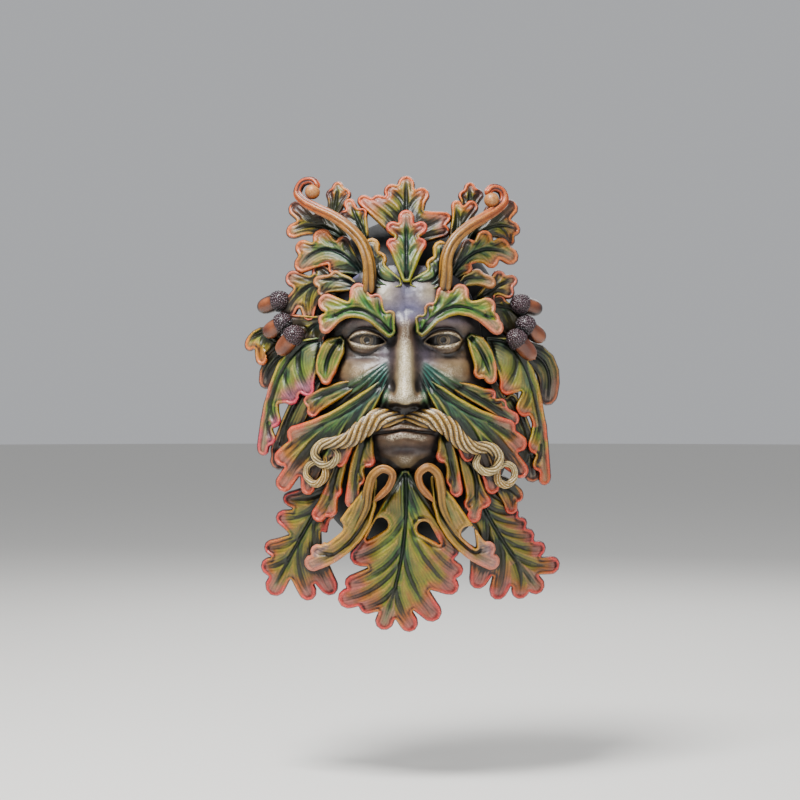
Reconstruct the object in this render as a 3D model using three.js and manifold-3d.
// A foliate wall mask cast in one piece of resin: a bearded face among oak leaves, with two curling
// tendrils, a twisted moustache and three acorns at each temple. The back is hollow behind a flat rim,
// and a blind hole in the solid top of the rim takes the head of a wall screw.
// Millimetres, +Z up, the face looks along -Y, and the flat rim lies in the plane Y = 0.
import * as THREE from "three";
import { mergeVertices } from "three/addons/utils/BufferGeometryUtils.js";
import Module from "manifold-3d";

const wasm = await Module();
wasm.setup();

// Driving sizes
const maskHeight = 366; // from the lowest leaf tip to the highest
const wallThickness = 11; // of the casting behind the face
const leafThickness = 14; // of a leaf at its rib
const hookHoleDiameter = 10; // blind hole for the head of a wall screw
const hookHoleDepth = 14;
const hookHoleRise = 16; // from the origin up to the middle of the hole
const hookWebBelow = 12; // solid back left below the origin
const lipThickness = 6; // of a leaf at its edge
const stalkHalfWidth = 3; // of a leaf where it grows out
const troughDepth = 2; // of a leaf's rib and veins below its edge
const rimRise = 1; // of a leaf's rolled edge
const ribWave = 0.3; // of a rib from side to side
const bigLobe = 7.2; // radius from which a lobe's end is drawn rounder
const veinLean = 0.5; // how far back along the rib a vein starts, as a share of its reach
const ribSteps = 10; // places along a rib where veins may start
const bayReach = 2.7; // depth of the bay beside a lobe, as a share of the radius of the lobe's end
const bayLeast = 0.4; // share of a vein that no bay cuts into
const eyeletReach = 16; // depth of the cut of an opening in front of and behind the foliage surface
const nutRadius = 7; // of an acorn
const cupRadius = 8; // of an acorn's scaled cup
const backCut = 20; // reach of the cut that trims the back flat
const cordStep = 2.3; // length of a cord's facets as a share of its radius
const crumbVolume = 1; // cubic millimetres
const joinTolerance = 0.3; // shorter edges left by a join are closed up

// The carving is drawn in millimetres at this height, with the middle of the eye line as its zero
const drawnHeight = 366;
const k = maskHeight / drawnHeight;
const originAboveEyes = 62 * k;

// The head, as shares of its own height from crown to chin: eyes halfway, nose base midway from brow to
// chin, mouth a third of the way from nose to chin, and an eye a fifth of the head's width
const headTop = 110 * k;
const chin = -112 * k;
const browLine = 12 * k;
const noseBase = (browLine + chin) / 2;
const mouthLine = noseBase + (chin - noseBase) / 3;
const headWidth = 0.68 * (headTop - chin);
const eyeWidth = headWidth / 5;
const eyeApart = eyeWidth; // from the middle of the face to the middle of an eye

// The rear oval that carries the face and the leaves
const rearHalfWidth = 94 * k;
const rearHalfHeight = 139 * k;
const rearMiddle = -36 * k;
const rearDepth = 84 * k;
const bedBelow = 7; // of its surface under the leaves

// The narrower oval of the face itself
const faceHalfWidth = headWidth / 2;
const faceHalfHeight = (headTop - chin) / 2;
const faceMiddle = (headTop + chin) / 2;
const faceDepth = 78 * k;

const clamp = (value, low, high) => Math.min(high, Math.max(low, value));
const mix = (a, b, share) => a + (b - a) * share;
const mixPoint = (a, b, share) => [mix(a[0], b[0], share), mix(a[1], b[1], share)];
const bump = (x, z, middleX, middleZ, reachX, reachZ) =>
  Math.exp(-(((x - middleX) / reachX) ** 2) - ((z - middleZ) / reachZ) ** 2);

// Depth out from the wall of the general surface that the leaves lie on: full in the middle, and
// falling back to the wall towards the sides, the crown and the end of the beard
function foliageDepth(x, z) {
  const across = (x / (120 * k)) ** 2;
  const along = ((z + 40 * k) / (190 * k)) ** 2;
  return rearDepth * (1 - 0.62 * across - 0.42 * along + 0.2 * across * along);
}

// Relief of the face over the oval: brow, eyes, nose, cheeks, lips and chin
function faceRelief(x, z) {
  const side = Math.abs(x);
  let relief = 4 * k * bump(x, z, 0, -30 * k, 60 * k, 75 * k);
  relief += 5 * k * bump(side, z, 16 * k, 34 * k, 13 * k, 14 * k);
  relief += 3 * k * bump(side, z, 22 * k, browLine + 3 * k, 24 * k, 8 * k);
  relief -= 9 * k * bump(side, z, eyeApart, -1 * k, eyeWidth * 0.62, 12 * k);
  relief += 7 * k * bump(side, z, eyeApart, 0, eyeWidth * 0.42, 7 * k);
  relief += 6 * k * bump(side, z, eyeApart + 6 * k, -25 * k, 17 * k, 10 * k);
  const down = clamp((browLine - z) / (browLine - noseBase), 0, 1);
  const bridge = clamp((browLine + 14 * k - z) / (14 * k), 0, 1);
  const width = mix(6, 9.5, down) * k;
  const fall = clamp((z - noseBase + 2 * k) / (5 * k), 0, 1);
  relief += mix(5, 25, down ** 1.2) * k * Math.exp(-((side / width) ** 2.4)) * fall * bridge;
  relief += 11 * k * bump(side, z, eyeWidth * 0.42, noseBase + 6 * k, 6 * k, 6 * k);
  relief += 5 * k * bump(x, z, 0, mouthLine, 30 * k, 14 * k);
  relief += 3.5 * k * bump(side, z, 6 * k, mouthLine + 4.5 * k, 14 * k, 3 * k);
  relief += 5 * k * bump(x, z, 0, mouthLine - 6 * k, 17 * k, 4.5 * k);
  relief -= 3 * k * bump(x, z, 0, mouthLine - 15 * k, 18 * k, 4 * k);
  relief += 10 * k * bump(x, z, 0, chin + 13 * k, 15 * k, 12 * k);
  return relief;
}

function solidOf(positions, triangles) {
  const raw = new THREE.BufferGeometry();
  raw.setAttribute("position", new THREE.BufferAttribute(new Float32Array(positions.flat()), 3));
  raw.setIndex(triangles.flat());
  return solidFrom(raw);
}

function solidFrom(geometry) {
  const bare = new THREE.BufferGeometry();
  bare.setAttribute("position", geometry.getAttribute("position"));
  bare.setIndex(geometry.getIndex());
  const merged = mergeVertices(bare, 1e-4);
  const made = new wasm.Manifold(
    new wasm.Mesh({
      numProp: 3,
      tolerance: joinTolerance,
      vertProperties: merged.attributes.position.array,
      triVerts: new Uint32Array(merged.index.array),
    }),
  );
  return made;
}

// Triangles over a flat outline of [x, z] points, facing out of the wall or into it. The ear with the
// best shape is cut off each time, so a web between two veins gets even triangles. No ear is cut along
// the spine that the outline shares with the other half of a leaf, which would cut the same ear.
function fill(points, ids, faceOut, spine = []) {
  const turn = (a, b, c) =>
    (points[b][0] - points[a][0]) * (points[c][1] - points[a][1]) -
    (points[c][0] - points[a][0]) * (points[b][1] - points[a][1]);
  const gap = (a, b) => Math.hypot(points[a][0] - points[b][0], points[a][1] - points[b][1]);
  const left = points.map((_, n) => n);
  const facing = Math.sign(left.reduce((sum, b) => sum + turn(0, b, (b + 1) % left.length), 0));
  const faces = [];
  while (left.length > 2) {
    let best = { score: -Infinity };
    left.forEach((b, n) => {
      const a = left.at(n - 1);
      const c = left[(n + 1) % left.length];
      const area = turn(a, b, c) * facing;
      const inside = (m) =>
        turn(a, b, m) * facing >= 0 && turn(b, c, m) * facing >= 0 && turn(c, a, m) * facing >= 0;
      const blocked = area <= 0 || left.some((m) => m !== a && m !== b && m !== c && inside(m));
      const shape = area / Math.max(gap(a, b), gap(b, c), gap(c, a)) ** 2;
      const alongSpine = spine.includes(ids[a]) && spine.includes(ids[c]);
      const score = shape - (blocked ? 10 : 0) - (alongSpine ? 100 : 0);
      if (score > best.score) best = { score, n, face: [a, b, c] };
    });
    faces.push(best.face);
    left.splice(best.n, 1);
  }
  return faces.map(([a, b, c]) =>
    facing > 0 === faceOut ? [ids[a], ids[b], ids[c]] : [ids[a], ids[c], ids[b]],
  );
}

// Shares from -1 to 1 that lie closer together round a middle share
function spacedShares(count, middle, reach, extra) {
  const steps = 200;
  const sums = [0];
  for (let n = 0; n < steps; n++) {
    const share = (2 * (n + 0.5)) / steps - 1;
    sums.push(sums[n] + 1 + extra * Math.exp(-(((share - middle) / reach) ** 2)));
  }
  return Array.from({ length: count + 1 }, (_, n) => {
    const wanted = (sums[steps] * n) / count;
    const after = clamp(sums.findIndex((sum) => sum >= wanted), 1, steps);
    const part = (wanted - sums[after - 1]) / (sums[after] - sums[after - 1]);
    return (2 * (after - 1 + part)) / steps - 1;
  });
}

// A closed dome over an upright oval: a grid bent to the oval's edge in front, one flat face behind
function dome(across, up, halfWidth, halfHeight, middle, depthAt) {
  const positions = [];
  const triangles = [];
  const columns = across.length - 1;
  const rows = up.length - 1;
  const id = (i, j) => j * (columns + 1) + i;
  for (let j = 0; j <= rows; j++)
    for (let i = 0; i <= columns; i++) {
      const x = halfWidth * across[i] * Math.sqrt(1 - up[j] ** 2 / 2);
      const z = middle + halfHeight * up[j] * Math.sqrt(1 - across[i] ** 2 / 2);
      const edge = i === 0 || j === 0 || i === columns || j === rows;
      positions.push([x, edge ? 0 : -depthAt(x, z), z]);
      if (i === columns || j === rows) continue;
      const a = id(i, j);
      const b = id(i + 1, j);
      const c = id(i + 1, j + 1);
      const d = id(i, j + 1);
      if (across[i] * up[j] > 0) triangles.push([a, b, d], [b, c, d]);
      else triangles.push([a, b, c], [a, c, d]);
    }
  const rim = [];
  for (let i = 0; i < columns; i++) rim.push(id(i, 0));
  for (let j = 0; j < rows; j++) rim.push(id(columns, j));
  for (let i = columns; i > 0; i--) rim.push(id(i, rows));
  for (let j = rows; j > 0; j--) rim.push(id(0, j));
  const rimPoints = rim.map((n) => [positions[n][0], positions[n][2]]);
  triangles.push(...fill(rimPoints, rim, false));
  return solidOf(positions, triangles);
}

// A leaf's rib runs through three places; u goes from 0 at the stalk to 1 at the tip
function ribPoint(leaf, u) {
  const control = [0, 1].map((n) => 2 * leaf.bend[n] - (leaf.base[n] + leaf.tip[n]) / 2);
  return mixPoint(mixPoint(leaf.base, control, u), mixPoint(control, leaf.tip, u), u);
}

// The place beside the rib, to its left when side is 1
function besideRib(leaf, u, side, away) {
  const at = ribPoint(leaf, u);
  const ahead = ribPoint(leaf, u + 0.02);
  const long = Math.hypot(ahead[0] - at[0], ahead[1] - at[1]);
  const turn = (side * away) / long;
  return [at[0] - turn * (ahead[1] - at[1]), at[1] + turn * (ahead[0] - at[0])];
}

// The nearest share of the rib to a place, and how far away it is
function nearestOnRib(leaf, place) {
  let best = { u: 0, away: Infinity };
  for (let n = 0; n <= 40; n++) {
    const at = ribPoint(leaf, n / 40);
    const away = Math.hypot(at[0] - place[0], at[1] - place[1]);
    if (away < best.away) best = { u: n / 40, away };
  }
  return best;
}

// The place on a vein beside which the bay next to its lobe ends
function bayPoint(at, tip, radius) {
  const long = Math.hypot(tip[0] - at[0], tip[1] - at[1]);
  return mixPoint(at, tip, Math.max(bayLeast, 1 - (bayReach * radius) / long));
}

// Each lobe has a vein that leaves the rib early and bends forward to the lobe's tip
function veinsOf(leaf) {
  const length = Math.hypot(leaf.tip[0] - leaf.base[0], leaf.tip[1] - leaf.base[1]);
  const veins = leaf.lobes.map((tip) => {
    const near = nearestOnRib(leaf, tip);
    const start = clamp(near.u - (veinLean * near.away) / length, 0.08, 0.88);
    const root = Math.round(start * ribSteps) / ribSteps;
    const at = ribPoint(leaf, root);
    const ahead = ribPoint(leaf, root + 0.02);
    const cross = (ahead[0] - at[0]) * (tip[1] - at[1]) - (ahead[1] - at[1]) * (tip[0] - at[0]);
    const radius = tip[2] ?? leaf.radius;
    return { root, at, tip, side: Math.sign(cross), radius, bay: bayPoint(at, tip, radius) };
  });
  return veins.sort((a, b) => a.root - b.root);
}

// The rounded end of a lobe, from its side next to the stalk to its far side
function lobeEnd(from, tip, radius, side) {
  const long = Math.hypot(tip[0] - from[0], tip[1] - from[1]);
  const forward = [(tip[0] - from[0]) / long, (tip[1] - from[1]) / long];
  const across = [forward[1] * side, -forward[0] * side];
  const round = Math.min(radius, long * 0.45);
  const middle = [tip[0] - forward[0] * round, tip[1] - forward[1] * round];
  const angles = radius > bigLobe * k ? [-85, -42, 0, 42, 85] : [-72, 0, 72];
  const around = angles.map((angle) => {
    const a = (angle * Math.PI) / 180;
    return [
      middle[0] + round * (forward[0] * Math.cos(a) + across[0] * Math.sin(a)),
      middle[1] + round * (forward[1] * Math.cos(a) + across[1] * Math.sin(a)),
    ];
  });
  return { middle, around, apex: (angles.length - 1) / 2 };
}

function leafSolid(row) {
  const [name, base, bend, tip, radius, width, lobes, liftBase, liftTip] = row;
  const leaf = {
    base: base.map((n) => n * k),
    bend: bend.map((n) => n * k),
    tip: tip.map((n) => n * k),
    radius: radius * k,
    lobes: lobes.map((lobe) => lobe.map((n) => n * k)),
  };
  const veins = veinsOf(leaf);
  const positions = [];
  const triangles = [];
  const add = (place, raise) => {
    const { u } = nearestOnRib(leaf, place);
    const depth = foliageDepth(place[0], place[1]) + mix(liftBase, liftTip, u) * k + raise * k;
    positions.push([place[0], -depth, place[1]]);
    return positions.length - 1;
  };
  const plan = (ids) => ids.map((n) => [positions[n][0], positions[n][2]]);

  // The rib waves a little from side to side so that no three of its points are in line
  const roots = veins.map((vein) => vein.root);
  const shares = [...new Set([0, 0.5, ...roots, 0.93])].sort((a, b) => a - b);
  const rib = shares.map((u, n) => ({
    u,
    id: add(besideRib(leaf, u, n % 2 ? 1 : -1, n ? ribWave * k : 0), -troughDepth),
  }));
  const tipId = add(leaf.tip, rimRise);
  const spine = [...rib.map((point) => point.id), tipId];
  const edges = {};
  for (const side of [1, -1]) {
    const mine = veins.filter((vein) => vein.side === side);
    const edge = [];
    const put = (place, raise) => edge.push(add(place, raise));
    put(besideRib(leaf, 0, side, stalkHalfWidth * k), 0);
    let before = null;
    for (const vein of mine) {
      const end = lobeEnd(vein.at, vein.tip, vein.radius, side);
      if (before) put(mixPoint(before.bay, vein.bay, 0.5), rimRise / 2);
      for (const place of end.around) put(place, rimRise);
      vein.tipId = edge[edge.length - 1 - end.apex];
      const bent = mixPoint(end.middle, ribPoint(leaf, Math.min(1, vein.root + 0.3)), 0.08);
      vein.middleId = add(bent, -troughDepth);
      before = vein;
    }
    if (before) {
      const ahead = bayPoint(ribPoint(leaf, before.root), leaf.tip, leaf.radius);
      put(mixPoint(before.bay, ahead, 0.5), rimRise / 2);
    } else {
      for (const u of [0.2, 0.5, 0.78])
        put(besideRib(leaf, u, side, width * k * Math.sin(Math.PI * (0.25 + 0.55 * u))), rimRise);
    }
    const last = lobeEnd(ribPoint(leaf, 0.8), leaf.tip, leaf.radius, side);
    for (let n = 0; n < last.apex; n++) put(last.around[n], rimRise);
    edges[side] = edge;

    // The webs between neighbouring veins, in front
    for (let n = 0; n <= mine.length; n++) {
      const low = mine[n - 1];
      const high = mine[n];
      const from = low ? low.root : 0;
      const to = high ? high.root : 1;
      const web = low ? [low.middleId] : [];
      const start = low ? edge.indexOf(low.tipId) : 0;
      const stop = high ? edge.indexOf(high.tipId) + 1 : edge.length;
      web.push(...edge.slice(start, stop), high ? high.middleId : tipId);
      const along = rib.filter((point) => point.u >= from && point.u <= to);
      web.push(...along.map((point) => point.id).reverse());
      triangles.push(...fill(plan(web), web, true, spine));
    }
  }

  // The lip round the leaf, and its plain back with a thick rib
  const loop = [rib[0].id, ...edges[1], tipId, ...edges[-1].toReversed()];
  const under = loop.map((n) => {
    positions.push([positions[n][0], positions[n][1] + lipThickness * k, positions[n][2]]);
    return positions.length - 1;
  });
  loop.forEach((a, n) => {
    const next = (n + 1) % loop.length;
    triangles.push([a, under[next], under[n]], [a, loop[next], under[next]]);
  });
  const half = edges[1].length + 1;
  const backRib = [0.15, 0.6].map((u, n) =>
    add(besideRib(leaf, u, n % 2 ? 1 : -1, ribWave * k), -leafThickness),
  );
  const halves = [under.slice(0, half + 1), [under[0], ...under.slice(half).toReversed()]];
  for (const rim of halves) {
    const face = [...rim, ...backRib.toReversed()];
    triangles.push(...fill(plan(face), face, false, [rim[0], rim.at(-1), ...backRib]));
  }
  return solidOf(positions, triangles);
}

// name, stalk, middle of the rib, tip, radius of the tip, half width where a side has no lobes,
// lobe tips, lift over the foliage surface at the stalk and at the tip
const leafRows = [
  ["crownBack", [1, 76], [1, 105], [1, 134], 7, 8,
    [[-38, 116, 5], [-26, 116, 4.5], [-16, 124, 6], [36, 90, 4.5], [37, 102, 5.5], [19, 121, 6]],
    -14, -12],
  ["crownArmLeft", [-2, 48], [-22, 54], [-27, 82], 5, 6.5, [[-17, 70, 4]], -1, -2],
  ["crownArmRight", [3, 48], [24, 53], [29, 80], 5, 6.5, [[20, 65, 4]], -1, -2],
  ["crownFront", [1, 46], [1, 75], [1, 104], 6, 6,
    [[-14, 79, 4], [-14, 92, 4.5], [16, 79, 4.5], [17, 92, 4.5]], 3, 2],
  ["innerLeft", [-31, 78], [-37, 96], [-47, 115], 4.5, 6, [[-32, 107, 4], [-54, 101, 5]], -13, -13],
  ["innerRight", [37, 77], [42, 95], [41, 114], 4.5, 5, [[58, 112, 5]], -13, -13],
  ["innerRightBack", [50, 94], [52, 112], [53, 130], 5, 6, [[44, 121, 4.5], [63, 122, 4.5]],
    -18, -18],
  ["curlBackLeft", [-60, 96], [-56, 112], [-54, 131], 5, 6, [[-44, 122, 5], [-63, 123, 5]],
    -18, -18],
  ["outerLeft", [-46, 80], [-71, 94], [-96, 88], 6.5, 8, [[-93, 114, 6.5], [-68, 110, 6]], -16, -14],
  ["outerRight", [54, 82], [74, 94], [93, 90], 6.5, 8,
    [[89, 115, 6.5], [73, 112, 6], [84, 78, 5], [66, 76, 5]], -14, -14],
  ["sideLeftUpper", [-34, 54], [-62, 74], [-87, 57], 7, 8,
    [[-50, 84, 5], [-71, 89, 7], [-88, 78, 6], [-61, 56, 5]], -7, -8],
  ["sideRightUpper", [34, 47], [60, 73], [91, 66], 7, 8,
    [[51, 82, 5], [66, 89, 6], [82, 82, 6], [53, 58, 4.5], [71, 60, 5.5]], -7, -8],
  ["sideLeftLower", [-42, 42], [-74, 46], [-98, 20], 7, 9,
    [[-72, 62, 6], [-96, 54, 6.5], [-75, 17, 5], [-62, 26, 5]], -10, -11],
  ["sideLeftInner", [-34, 42], [-52, 49], [-73, 47], 4.5, 6, [[-57, 56, 4], [-67, 36, 4]], -3, -5],
  ["sideRightInner", [38, 42], [54, 51], [72, 45], 5, 6, [[60, 57, 4.5]], -7, -8],
  ["sideRightLower", [56, 32], [75, 45], [90, 51], 5.5, 7, [[76, 58, 5], [87, 37, 5], [72, 32, 4]],
    -12, -12],
  ["acornLeafRight", [54, 27], [80, 28], [98, 16], 6, 7, [[79, 37, 5], [94, 29, 5], [88, -2, 6]],
    -13, -14],
  ["acornLeafLeft", [-56, 16], [-74, 12], [-80, -4], 5, 7, [[-97, 17, 6], [-64, -4, 4]], -9, -12],
  ["browLeft", [-10, 5], [-40, 25], [-66, 7], 4.5, 6,
    [[-10, 24, 4], [-23, 37, 5], [-39, 45, 7], [-68, 33, 6.5], [-68, 17, 4.5]], 3, 4],
  ["browRight", [11, 5], [42, 27], [77, 7], 5.5, 6,
    [[9, 20, 4], [19, 30, 4.5], [31, 43, 5], [47, 44, 6.5], [71, 30, 6.5], [74, 19, 4]], 3, 4],
  ["templeLeft", [-49, 3], [-61, -14], [-62, -34], 4, 10, [], -4, -3],
  ["templeRight", [50, 5], [62, -12], [69, -33], 5, 9, [[56, -28, 4.5]], -4, -3],
  ["droopLeftBack", [-76, -4], [-104, -14], [-114, -37], 6, 9, [], -16, -16],
  ["smallFarLeft", [-98, 0], [-117, 8], [-129, -6], 5, 5, [[-115, -18, 5]], -14, -10],
  ["droopRightBack", [80, -6], [113, -16], [115, -51], 8, 11, [], -16, -15],
  ["droopLeft", [-64, 2], [-98, -22], [-116, -92], 5, 6,
    [[-74, -43, 6], [-87, -49, 7], [-102, -67, 6], [-107, -82, 4.5]], -6, -6],
  ["droopRight", [64, 2], [98, -24], [114, -116], 5, 6,
    [[77, -41, 6.5], [91, -58, 7], [101, -88, 6.5], [106, -103, 4.5]], -6, -6],
  ["lowBackRight", [66, -24], [93, -60], [104, -113], 7, 9, [[88, -104, 6], [109, -98, 6]], -9, -10],
  ["lowBackLeft", [-64, -22], [-91, -56], [-103, -103], 7, 9, [[-90, -99, 6], [-108, -88, 6]],
    -9, -10],
  ["underEyeLeft", [-36, -33], [-58, -40], [-81, -49], 5, 6, [[-74, -60, 5]], -6, -6],
  ["underEyeRight", [32, -31], [58, -44], [91, -65], 6, 6, [[72, -40, 4], [81, -48, 4.5]], -5, -6],
  ["jawOuterLeft", [-46, -84], [-56, -110], [-60, -139], 5.5, 5,
    [[-73, -141, 5.5], [-51, -121, 4]], -3, -3],
  ["jawInnerLeft", [-28, -70], [-37, -98], [-42, -132], 5.5, 6,
    [[-25, -98, 4.5], [-32, -112, 4.5]], -1, -2],
  ["jawInnerRight", [29, -70], [36, -96], [41, -123], 5.5, 6,
    [[26, -94, 4.5], [33, -112, 4.5]], -1, -2],
  ["jawOuterRight", [42, -82], [56, -110], [53, -144], 5.5, 5, [[47, -131, 5], [67, -130, 5]], -3, -3],
  ["ringLeafRight", [60, -100], [64, -110], [72, -121], 5.5, 5, [], -5, -5],
  ["curlLeafRight", [68, -108], [82, -116], [94, -127], 5.5, 6, [[84, -138, 5]], -12, -10],
  ["beardSideLeft", [-54, -108], [-82, -154], [-110, -206], 8, 8,
    [[-99, -126, 5.5], [-105, -142, 6.5], [-115, -167, 6], [-118, -183, 7], [-60, -152, 6],
    [-57, -203, 7], [-75, -208, 7]],
    -12, -8],
  ["beardSideRight", [54, -108], [74, -152], [112, -204], 7, 8,
    [[92, -137, 6], [99, -146, 5], [105, -156, 6], [115, -167, 6], [127, -181, 7], [56, -198, 7],
    [73, -208, 7], [92, -208, 7]],
    -12, -8],
  ["beardCentre", [0, -102], [-2, -166], [-19, -231], 7, 8,
    [[-44, -173, 8], [-48, -194, 6], [-54, -207, 8], [-36, -213, 5.5], [42, -170, 8],
    [45, -186, 6], [42, -200, 7], [27, -222, 7.5], [8, -231, 7]],
    -8, -2],
  ["beardBandLeft", [-25, -108], [-40, -154], [-80, -179], 6, 6, [[-74, -164, 5.5]], 2, 2],
  ["beardBandRight", [23, -106], [38, -152], [75, -178], 6, 6, [[71, -162, 5.5]], 2, 2],
  ["cheekLeft", [-13, -28], [-46, -56], [-94, -76], 6.5, 6,
    [[-52, -100, 5], [-79, -122, 5], [-101, -119, 6.5], [-103, -98, 6.5]], 1, -2],
  ["cheekRight", [13, -28], [46, -54], [88, -69], 5.5, 6,
    [[50, -96, 5], [71, -121, 6], [96, -108, 6], [96, -86, 6.5]], 1, -2],
];

// A tapered round cord along a smooth path given as [x, z, lift, radius] rows
function cordSolid(rows) {
  const sides = 5;
  const points = rows.map(([x, z, lift]) => {
    return new THREE.Vector3(x * k, -(foliageDepth(x * k, z * k) + lift * k), z * k);
  });
  const path = new THREE.CatmullRomCurve3(points, false, "centripetal");
  const middleRadius = rows[Math.floor(rows.length / 2)][3] * k;
  const count = Math.round(path.getLength() / (cordStep * middleRadius));
  const outward = new THREE.Vector3(0, -1, 0);
  const positions = [];
  const triangles = [];
  for (let n = 0; n <= count; n++) {
    const t = n / count;
    const place = t * (rows.length - 1);
    const row = Math.min(rows.length - 2, Math.floor(place));
    const radius = mix(rows[row][3], rows[row + 1][3], place - row) * k;
    const at = path.getPoint(t);
    const along = path.getTangent(t);
    const across = new THREE.Vector3().crossVectors(along, outward).normalize();
    const up = new THREE.Vector3().crossVectors(across, along).normalize();
    for (let i = 0; i < sides; i++) {
      const turn = (2 * Math.PI * i) / sides;
      const spot = at.clone();
      spot.addScaledVector(across, radius * Math.cos(turn));
      spot.addScaledVector(up, radius * Math.sin(turn));
      positions.push(spot.toArray());
      if (n === count) continue;
      const a = n * sides + i;
      const b = n * sides + ((i + 1) % sides);
      triangles.push([a, b + sides, b], [a, a + sides, b + sides]);
    }
  }
  for (let i = 1; i + 1 < sides; i++) {
    triangles.push([0, i, i + 1]);
    triangles.push([count * sides, count * sides + i + 1, count * sides + i]);
  }
  return solidOf(positions, triangles);
}

// A round bead where a cord ends in a curl
function beadSolid(x, z, lift, radius) {
  const ball = new THREE.IcosahedronGeometry(radius * k, 1);
  ball.translate(x * k, -(foliageDepth(x * k, z * k) + lift * k), z * k);
  return solidFrom(ball);
}

// An acorn on its side, turned out of one profile: a wider scaled cup, and the nut that comes out of it
function acornSolid([cupX, cupZ, nutX, nutZ, lift]) {
  const from = new THREE.Vector3(cupX * k, -(foliageDepth(cupX * k, cupZ * k) + lift * k), cupZ * k);
  const to = new THREE.Vector3(nutX * k, -(foliageDepth(nutX * k, nutZ * k) + lift * k), nutZ * k);
  const along = new THREE.Vector3().subVectors(to, from).normalize();
  const turn = new THREE.Quaternion().setFromUnitVectors(new THREE.Vector3(0, 1, 0), along);
  const long = from.distanceTo(to) / k;
  const profile = [[0, -cupRadius * 0.8], [cupRadius * 0.8, -cupRadius * 0.3]];
  profile.push([cupRadius, nutRadius * 0.6]);
  profile.push([nutRadius * 0.9, nutRadius * 0.65], [nutRadius, long * 0.7]);
  profile.push([nutRadius * 0.75, long + nutRadius * 0.65], [0, long + nutRadius * 1.05]);
  const round = new THREE.LatheGeometry(profile.map(([r, y]) => new THREE.Vector2(r * k, y * k)), 7);
  round.applyQuaternion(turn);
  round.translate(from.x, from.y, from.z);
  return solidFrom(round);
}

// A drop-shaped opening cut through a leaf, with its round end at the first place
function eyelet([x, z, radius, tailX, tailZ]) {
  const long = Math.hypot(tailX - x, tailZ - z);
  const lean = Math.atan2(tailZ - z, tailX - x);
  const spread = Math.acos(radius / long);
  const drop = new THREE.Shape();
  for (let n = 0; n <= 6; n++) {
    const turn = lean + spread + ((2 * Math.PI - 2 * spread) * n) / 6;
    const spot = [(x + radius * Math.cos(turn)) * k, (z + radius * Math.sin(turn)) * k];
    if (n) drop.lineTo(...spot);
    else drop.moveTo(...spot);
  }
  drop.lineTo(tailX * k, tailZ * k);
  const settings = { depth: eyeletReach * k * 2, bevelEnabled: false, curveSegments: 1 };
  const cutter = new THREE.ExtrudeGeometry(drop, settings);
  cutter.translate(0, 0, foliageDepth(x * k, z * k) - eyeletReach * k);
  cutter.rotateX(Math.PI / 2);
  return solidFrom(cutter);
}

// x, z, lift over the foliage surface and radius along each cord
const cordRows = {
  antlerLeft: [
    [-29, 36, 0, 6], [-28, 50, 5, 5.6], [-29, 63, 7, 5.2], [-34, 77, 7, 5], [-44, 89, 7, 4.8],
    [-57, 99, 7, 4.5],
    [-70, 106, 7, 4.3], [-81, 113, 7, 4], [-86, 120, 7, 3.8], [-82, 128, 7, 3.6],
    [-74, 129, 7, 3.4], [-69, 122, 7, 3.2],
  ],
  antlerRight: [
    [31, 38, 0, 6], [32, 52, 5, 5.6], [33, 66, 7, 5.2], [39, 79, 7, 5], [50, 90, 7, 4.8],
    [62, 98, 7, 4.5],
    [72, 105, 7, 4.2], [79, 113, 7, 4], [77, 121, 7, 3.7], [70, 123, 7, 3.4], [64, 117, 7, 3.2],
  ],
  lockLeft: [
    [2, -62, -3, 4], [-10, -61, -1, 7], [-21, -61, 0, 8.5], [-32, -68, 1, 8], [-43, -77, 1, 7],
    [-54, -80, 2, 5.5],
    [-66, -82, 2, 4.5], [-71, -89, 2, 4], [-66, -97, 2, 3.6], [-58, -97, 2, 3.3],
    [-53, -90, 2, 3], [-56, -83, 1, 2.8],
  ],
  lockLowerLeft: [
    [-61, -88, 0, 3.5], [-62, -99, 1, 3.5], [-64, -108, 2, 3.3], [-71, -113, 2, 3],
    [-78, -107, 2, 2.8], [-77, -99, 2, 2.6], [-70, -96, 1, 2.6], [-64, -99, 0, 2.5],
  ],
  lockRight: [
    [-2, -62, -3, 4], [10, -61, -1, 7], [21, -61, 0, 8.5], [33, -67, 1, 8], [43, -78, 1, 7],
    [54, -84, 2, 5.5],
    [66, -84, 2, 5], [74, -91, 2, 4.5], [71, -101, 2, 3.8], [63, -103, 2, 3.4], [56, -97, 2, 3],
    [58, -88, 1, 2.8],
  ],
  lockLowerRight: [
    [72, -92, 0, 3.5], [72, -102, 1, 3.5], [74, -111, 2, 3.3], [81, -114, 2, 3],
    [87, -108, 2, 2.8], [86, -100, 2, 2.6], [79, -97, 1, 2.6], [73, -101, 0, 2.5],
  ],
  chinLoopLeft: [
    [-29, -130, 2, 4], [-29, -117, 3, 4], [-25, -105, 4, 3.6], [-17, -100, 4, 3.4],
    [-10, -104, 4, 3.2], [-12, -113, 3, 3],
    [-20, -122, 2, 3], [-28, -128, 1, 3],
  ],
  chinLoopRight: [
    [27, -130, 2, 4], [28, -116, 3, 4], [25, -104, 4, 3.6], [18, -99, 4, 3.4], [11, -104, 4, 3.2],
    [12, -113, 3, 3],
    [19, -122, 2, 3], [26, -129, 1, 3],
  ],
};

// Cup and nut places and lift of each acorn
const acornRows = [
  [-100, 34, -113, 30, -8],
  [-97, 16, -108, 10, -7],
  [-88, 6, -97, -4, -2],
  [92, 31, 104, 28, -8],
  [96, 14, 107, 6, -5],
  [88, 3, 99, -8, -2],
];

// Round end, radius and pointed end of each opening through the beard and the crown
const eyeletRows = [
  [-19, -145, 6, -31, -158],
  [15, -148, 6, 28, -161],
  [-55, -147, 6.5, -63, -161],
  [50, -152, 6, 57, -165],
];

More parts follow.
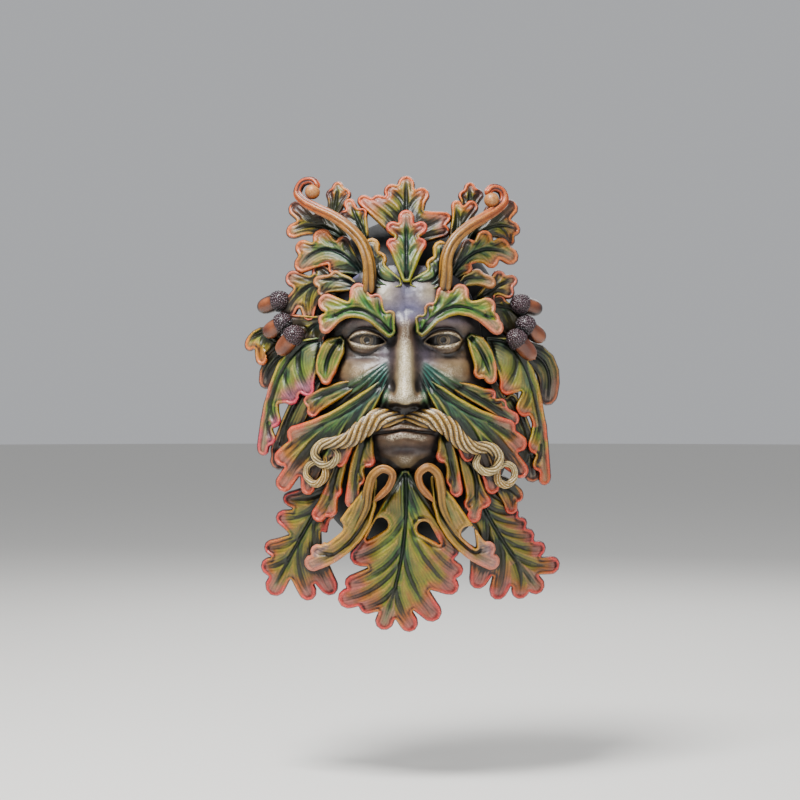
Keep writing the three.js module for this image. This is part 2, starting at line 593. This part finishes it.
const faceColumns = spacedShares(16, 0, 0.25, 3);
const faceRows = spacedShares(22, -0.25, 0.4, 2.5);
const head = dome(faceColumns, faceRows, faceHalfWidth, faceHalfHeight, faceMiddle, (x, z) => {
  const up = (z - faceMiddle) / faceHalfHeight;
  const jaw = 1 - 0.3 * clamp((-up - 0.3) / 0.7, 0, 1) ** 2;
  const out = Math.abs(x / (faceHalfWidth * jaw)) ** 2.6 + Math.abs(up) ** (up > 0 ? 2.6 : 6);
  return faceDepth * Math.sqrt(Math.max(0, 1 - out)) + faceRelief(x, z);
});
const ovalDepth = (inset) => (x, z) => {
  const out = Math.hypot(x / (rearHalfWidth - inset), (z - rearMiddle) / (rearHalfHeight - inset));
  const behindFace = 12 * k * bump(x, z, 0, faceMiddle, 62 * k, 95 * k);
  const behindCrown = 10 * k * bump(x, z, 0, 92 * k, 70 * k, 30 * k);
  const belowMouth = 16 * k * bump(x, z, 0, -95 * k, 40 * k, 42 * k);
  const below = bedBelow * k + behindFace + behindCrown + belowMouth;
  return (foliageDepth(x, z) - below - inset) * Math.sqrt(Math.max(0, 1 - Math.min(1, out) ** 4));
};
const ovalColumns = spacedShares(8, 0, 1, 0);
const ovalRows = spacedShares(12, 0, 1, 0);
const rear = dome(ovalColumns, ovalRows, rearHalfWidth, rearHalfHeight, rearMiddle, ovalDepth(0));

let mask = head.add(rear);
for (const row of leafRows) mask = mask.add(leafSolid(row));
for (const row of eyeletRows) mask = mask.subtract(eyelet(row));
for (const rows of Object.values(cordRows)) mask = mask.add(cordSolid(rows));
mask = mask.add(beadSolid(-74, 120, 7, 6)).add(beadSolid(69, 113, 7, 6));
for (const row of acornRows) mask = mask.add(acornSolid(row));

// The hollow behind the face, closed above by a flat web that carries the hook hole
const hollow = dome(
  ovalColumns,
  ovalRows,
  rearHalfWidth - wallThickness,
  rearHalfHeight - wallThickness,
  rearMiddle,
  ovalDepth(wallThickness),
);
const webTop = new THREE.BoxGeometry(4 * rearHalfWidth, 4 * rearDepth, 2 * rearHalfHeight);
webTop.translate(0, 0, originAboveEyes - hookWebBelow + rearHalfHeight);
const hookHoleRadius = hookHoleDiameter / 2;
const hookHole = new THREE.CylinderGeometry(hookHoleRadius, hookHoleRadius, 2 * hookHoleDepth, 24);
hookHole.translate(0, 0, originAboveEyes + hookHoleRise);
const behindWall = new THREE.BoxGeometry(4 * rearHalfWidth, 2 * backCut, 4 * rearHalfHeight);
behindWall.translate(0, backCut, 0);
mask = mask.subtract(hollow.subtract(solidFrom(webTop)));
mask = mask.subtract(solidFrom(hookHole)).subtract(solidFrom(behindWall));

// Small closed spaces left where leaves cross are filled, and crumbs of the cuts are cleared
const filled = mask.decompose().filter((piece) => piece.volume() > crumbVolume);
mask = filled.reduce((joined, piece) => joined.add(piece));

function geometryOf(solid) {
  const mesh = solid.getMesh();
  const geometry = new THREE.BufferGeometry();
  geometry.setAttribute("position", new THREE.BufferAttribute(new Float32Array(mesh.vertProperties), 3));
  geometry.setIndex(new THREE.BufferAttribute(new Uint32Array(mesh.triVerts), 1));
  geometry.translate(0, 0, -originAboveEyes);
  geometry.computeVertexNormals();
  return geometry;
}

const paintedResin = new THREE.MeshStandardMaterial({ color: 0x6f7a4e, roughness: 0.55, metalness: 0 });
const part = new THREE.Group();
const maskMesh = new THREE.Mesh(geometryOf(mask), paintedResin);
maskMesh.name = "green_man_mask";
part.add(maskMesh);
export default part;
